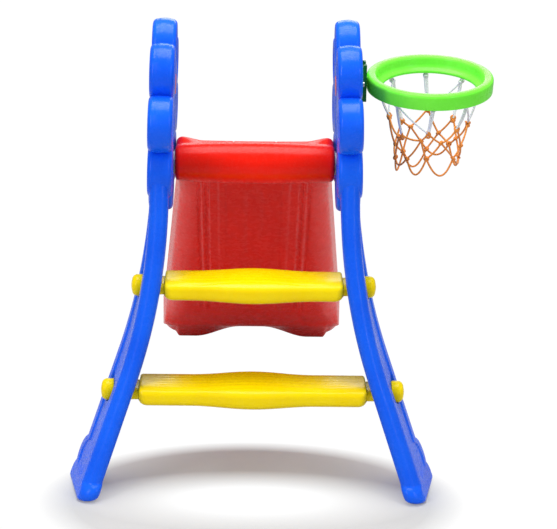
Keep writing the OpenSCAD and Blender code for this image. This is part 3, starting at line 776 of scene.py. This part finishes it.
# roll = a barrel: its radius grows towards the middle as 1 - (x / end)^2
def rollSkin():
    r = roll
    x = np.linspace(-r["end"] + r["round"], r["end"] - r["round"], 60)
    barrel = np.stack([x, r["radius"] + r["crown"] * (1 - (x / r["end"]) ** 2)], -1)
    start, end = barrel[0, 1], barrel[-1, 1]
    left = roundedEnd(-r["end"], start, r["round"], 1)
    right = roundedEnd(r["end"], end, r["round"], -1)[::-1]
    return spinAboutX(np.concatenate([left, barrel[1:-1], right]), r["y"], pivotZ, 96)


chuteShell = addShell("chute_shell", [chuteSkin()], 35)
chuteShell = joinOrCut(chuteShell, addShell("roll", [rollSkin()]), "UNION", 35)
finishPiece(chuteShell, "chute", redPlastic, "red_plastic", "chute")
print("chute is made")

hoop = dict(radius=97, face=16, flange=9, flangeT=4, height=24, tilt=9, wall=4, rise=56,
            tongueT=3, tongueW=34, tongueH=42, armW=18, slotGap=0.4, lipT=2.6, out=0.5)
gripZ = panel["height"] - flower["ring"] * cosDeg(flower["turn"]) - flower["petalR"]
hoopZ = gripZ + hoop["rise"]
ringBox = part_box("hoop_ring")
hoopX = (ringBox[1][0] - shapeOrigin[0]) / millimetre - hoop["radius"]
hoopMiddle = np.array([hoopX, flower["y"], hoopZ])


# corners of an outline as arcs: from one tangent point to the next, on a quadratic curve through the corner
def softOutline(corners, count=6):
    points = []
    number = len(corners)
    share = np.linspace(0, 1, count)[:, None]
    for k, (a, b, reach) in enumerate(corners):
        here = np.array([a, b], float)
        before = np.array(corners[k - 1][:2], float) - here
        after = np.array(corners[(k + 1) % number][:2], float) - here
        start, end = (here + side / np.linalg.norm(side) * reach for side in (before, after))
        points.append((1 - share) ** 2 * start + 2 * share * (1 - share) * here + share ** 2 * end)
    return np.concatenate(points)


# hoop = the outline of its wall turned about its axis, then tilted: each place is (r cos t, r sin t, z)
def hoopSkin():
    h = hoop
    half, inner = h["height"] / 2, h["radius"] - h["face"]
    outline = softOutline([(h["radius"] - 1, -half, 1.5), (h["radius"], half, 6.5), (inner + 1, half, 5),
                           (inner - 1, -half + 9, 4), (inner - h["flange"], -half + h["flangeT"], 1.5),
                           (inner - h["flange"], -half, 1.2), (inner + h["wall"], -half, 1),
                           (inner + h["wall"] + 1.5, half - h["wall"], 2),
                           (h["radius"] - h["wall"], half - h["wall"], 2),
                           (h["radius"] - h["wall"] - 1, -half, 1)])
    turn = np.linspace(0, 2 * np.pi, 180, endpoint=False)[:, None]
    ring = np.stack([outline[:, 0] * np.cos(turn), outline[:, 0] * np.sin(turn),
                     np.broadcast_to(outline[:, 1], (len(turn), len(outline)))], -1)
    points = tiltHoop(ring).reshape(-1, 3) + hoopMiddle
    return points, gridFaces(len(turn), len(outline), True, True), np.zeros((0, 3), int)


# turn about x by the hoop's tilt
def tiltHoop(points):
    x, y, z = points[..., 0], points[..., 1], points[..., 2]
    return np.stack([x, y * cosDeg(hoop["tilt"]) - z * sinDeg(hoop["tilt"]),
                     y * sinDeg(hoop["tilt"]) + z * cosDeg(hoop["tilt"])], -1)


# a box with its corners eased, as a rounded outline drawn along x
def easedBox(low, high, ease):
    (x0, y0, z0), (x1, y1, z1) = low, high
    outline = softOutline([(y0, z0, ease), (y1, z0, ease), (y1, z1, ease), (y0, z1, ease)], 5)
    return slabAlongX(outline, x0, x1)


# the tongue stands in the bracket's slot and the arm joins it to the hoop
def hoopArmSkins():
    h = hoop
    tongueX = hoopX - h["radius"] - h["out"] - h["lipT"] - h["slotGap"] - h["tongueT"]
    tongue = easedBox((tongueX, flower["y"] - h["tongueW"] / 2, hoopZ - h["tongueH"] / 2),
                      (tongueX + h["tongueT"], flower["y"] + h["tongueW"] / 2, hoopZ + h["tongueH"] / 2), 3)
    arm = easedBox((tongueX + 1, flower["y"] - h["armW"] / 2, hoopZ - 8),
                   (hoopX - h["radius"] + 3, flower["y"] + h["armW"] / 2, hoopZ + 8), 3)
    return [tongue, arm]


hoopShell = addShell("hoop_ring_shell", [hoopSkin()] + hoopArmSkins(), 50)
finishPiece(hoopShell, "hoop", greenPlastic, "green_plastic", "hoop_ring")
print("hoop is made")

net = dict(clips=8, cord=3.0, pitch=9.0, levels=((0.0, 74), (43, 61), (69, 53), (94, 49)),
           jitterTurn=6.0, jitterDrop=5.0, loop=24, sides=10)


# tube round a path: across = path direction x outward direction, and the laid pattern runs on a map
# whose first number goes round the cord and whose second goes along it
def cordSkin(path, radius, sides=10):
    ahead = np.gradient(path, axis=0)
    ahead /= np.linalg.norm(ahead, axis=1, keepdims=True)
    outward = path - (path.mean(0) * 0.2 + np.array([hoopX, flower["y"], hoopZ - 60]) * 0.8)
    side = np.cross(ahead, outward)
    side /= np.linalg.norm(side, axis=1, keepdims=True)
    up = np.cross(side, ahead)
    turn = np.linspace(0, 2 * np.pi, sides, endpoint=False)
    spoke = side[:, None] * np.cos(turn)[:, None] + up[:, None] * np.sin(turn)[:, None]
    rings = path[:, None] + radius * spoke
    length = np.concatenate([[0], np.cumsum(np.linalg.norm(np.diff(path, axis=0), axis=1))])
    u, v = np.meshgrid(turn / (2 * np.pi), length / net["pitch"])
    ends = [[0.5, 0], [0.5, length[-1] / net["pitch"]]]
    return shutTube(rings), np.concatenate([np.stack([u, v], -1).reshape(-1, 2), ends]), length[-1]


# a strand between two knots: a straight line that sags as s (1 - s) and bows outwards a little
def strandPath(start, end, sag, bow, count=14):
    share = np.linspace(0, 1, count)[:, None]
    line = start + (end - start) * share
    middle = (start + end) / 2 - np.array([hoopX, flower["y"], 0])
    outward = np.array([middle[0], middle[1], 0]) / np.hypot(middle[0], middle[1])
    lift = 4 * share * (1 - share)
    return line - lift * np.array([0, 0, sag]) + lift * outward * bow


# a knot: the cord wound once and a half round the place, drawn tight
def knotPath(place, size):
    turn = np.linspace(0, 3 * np.pi, 26)[:, None]
    wind = np.concatenate([np.cos(turn), np.sin(turn), 0.35 * (turn / (1.5 * np.pi) - 1)], 1)
    lean = random.normal(0, 1, (3, 3))
    frameTurn, _ = np.linalg.qr(lean)
    return place + size * wind @ frameTurn


# knots of one level stand on a ring below the hoop; every second ring is turned by half a step
def netLevels():
    n = net
    rows = []
    for row, (drop, radius) in enumerate(n["levels"]):
        turn = (np.arange(n["clips"]) + 0.5 * (row == 2)) * 2 * np.pi / n["clips"]
        if row:
            turn = turn + np.radians(random.normal(0, n["jitterTurn"], n["clips"]))
            drop = drop + random.normal(0, n["jitterDrop"], n["clips"])
        hang = -hoop["height"] / 2 - 7 - drop - 3 * (row > 0)
        flat = np.stack([radius * np.cos(turn), radius * np.sin(turn), 0 * turn], -1)
        below = np.stack([0 * turn, 0 * turn, hang + 0 * turn], -1)
        rows.append(hoopMiddle + (flat + below if row else tiltHoop(flat + below)))
    return rows


# white cords run doubled from clip to knot, with single ones across; orange ones make the diamonds below
def netPaths():
    n = net
    rows = netLevels()
    white, orange = [], []
    number = n["clips"]
    for k in range(number):
        clip, knot = rows[0][k], rows[1][k]
        along = 2 * np.pi * k / number
        apart = np.array([-math.sin(along), math.cos(along), 0]) * n["cord"] * 0.6
        white.append(strandPath(clip + apart, knot + apart * 0.5, 1.0, 2.0))
        white.append(strandPath(clip - apart, knot - apart * 0.5, 1.0, 1.0))
        white.append(knotPath(clip + np.array([0, 0, 1.0]), 2.6))
        if k % 2:
            white.append(strandPath(clip, rows[1][(k + 1) % number], 2.0, 2.0))
        orange.append(knotPath(knot, 3.4))
        orange.append(knotPath(knot - np.array([0, 0, 4.0]), 2.8))
        for way in (0, 1):
            orange.append(strandPath(knot, rows[2][(k - way) % number], 1.0 + abs(random.normal(0, 1.5)), 1.5))
            orange.append(strandPath(rows[2][k], rows[3][(k + way) % number], abs(random.normal(0, 1.5)), 1.5))
        orange.append(knotPath(rows[2][k], 3.0))
        orange.append(knotPath(rows[3][k], 3.2))
        # below the last knots the cord hangs in loops, some of them short
        fall = n["loop"] * (0.45 if k % 3 == 1 else 1.0) + random.normal(0, 3)
        orange.append(strandPath(rows[3][k], rows[3][(k + 1) % number], fall, 3.0, 22))
    return white, orange


# every cord of one colour as one piece, with the map of its lay
def addCords(name, paths, radius):
    skins, maps, lengths = zip(*(cordSkin(path, radius, net["sides"]) for path in paths))
    print(name, "holds", round(sum(lengths)), "mm of cord")
    return addShell(name, skins, 80, np.concatenate(maps))


whitePaths, orangePaths = netPaths()
whiteNet = addCords("net_upper_cords", whitePaths, net["cord"] / 2)
orangeNet = addCords("net_lower_cords", orangePaths, net["cord"] / 2)
finishPiece(whiteNet, "hoop", whiteCord, "white_cord", "net_upper")
finishPiece(orangeNet, "hoop", orangeCord, "orange_cord", "net_lower")

kept = dict(pivot_tube=steel, bracket_screws=steel, pivot_bush_left=nylonPlastic, pivot_bush_right=nylonPlastic,
            pivot_cap_left=bluePlastic, pivot_cap_right=bluePlastic, badge_left=badgeFilm,
            badge_right=badgeFilm, hoop_bracket=bracketPlastic, net_clips=nylonPlastic)
for name, material in kept.items():
    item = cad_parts[name]
    item.data.materials.clear()
    item.data.materials.append(material)


# the floor's painted white glow: full away from the ladder, where it paints out the shadow under the chute, and
# least of it in an oval band between the feet
floor = dict(size=16.0, albedo=0.55, glow=1.02, middle=(0.0, 0.02), outer=(0.30, 0.235), inner=(0.19, 0.09),
             leastPaintedWhite=0.12)


# distance from the ladder's foot in widths of an ellipse = |((x - x0) / a, (y - y0) / b)|, which shapes the
# floor's painted white glow
def ovalReach(tree, place, widths):
    x, y = (shapeOrigin[k] + floor["middle"][k] for k in (0, 1))
    a, b = widths
    mapping = addNode(tree, "ShaderNodeMapping")
    mapping.inputs["Scale"].default_value = (1 / a, 1 / b, 0)
    mapping.inputs["Location"].default_value = (-x / a, -y / b, 0)
    measure = addNode(tree, "ShaderNodeVectorMath", operation="LENGTH")
    tree.links.new(place.outputs["Object"], mapping.inputs["Vector"])
    tree.links.new(mapping.outputs[0], measure.inputs[0])
    return measure.outputs["Value"]


# a pale floor with a painted white glow that only the camera sees. It paints out the object's real shadow on
# the floor, less so in an oval band between the feet, where the lamps' real shade is kept
def addFloor():
    size = floor["size"] / 2
    corners = np.array([[-size, -size, 0], [size, -size, 0], [size, size, 0], [-size, size, 0]])
    item = addMesh("floor", corners, [[0, 1, 2, 3]], [])
    material, tree, shader = newMaterial("pale floor")
    grain = addNoise(tree, 0.02, 4.0)
    low = floor["albedo"]
    tone = addColourMix(tree, grain.outputs["Fac"], (low - 0.01,) * 3, (low + 0.01,) * 3)
    tree.links.new(tone, shader.inputs["Base Color"])
    shader.inputs["Roughness"].default_value = 0.95
    shader.inputs["Specular IOR Level"].default_value = 0.0
    place = addNode(tree, "ShaderNodeTexCoord")
    # painted white glow: full outside the outer oval and near the middle, least in the band between them, where
    # real shade shows
    beyond = addRange(tree, ovalReach(tree, place, floor["outer"]), 0.9, 1.08, floor["leastPaintedWhite"], 1.0)
    within = addRange(tree, ovalReach(tree, place, floor["inner"]), 0.6, 1.5, 1.0, 0.0)
    share = addNode(tree, "ShaderNodeMath", operation="MAXIMUM")
    tree.links.new(beyond, share.inputs[0])
    tree.links.new(within, share.inputs[1])
    # only camera rays see the painted white glow; light bounced off the floor comes from its diffuse shade
    rays = addNode(tree, "ShaderNodeLightPath")
    paintedWhiteShare = addNode(tree, "ShaderNodeMath", operation="MULTIPLY")
    tree.links.new(share.outputs[0], paintedWhiteShare.inputs[0])
    tree.links.new(rays.outputs["Is Camera Ray"], paintedWhiteShare.inputs[1])
    white = addNode(tree, "ShaderNodeEmission", Color=(1, 1, 1, 1), Strength=floor["glow"])
    blend = addNode(tree, "ShaderNodeMixShader")
    tree.links.new(paintedWhiteShare.outputs[0], blend.inputs[0])
    tree.links.new(shader.outputs[0], blend.inputs[1])
    tree.links.new(white.outputs[0], blend.inputs[2])
    tree.links.new(blend.outputs[0], tree.nodes["Material Output"].inputs["Surface"])
    item.data.materials.append(material)


addFloor()
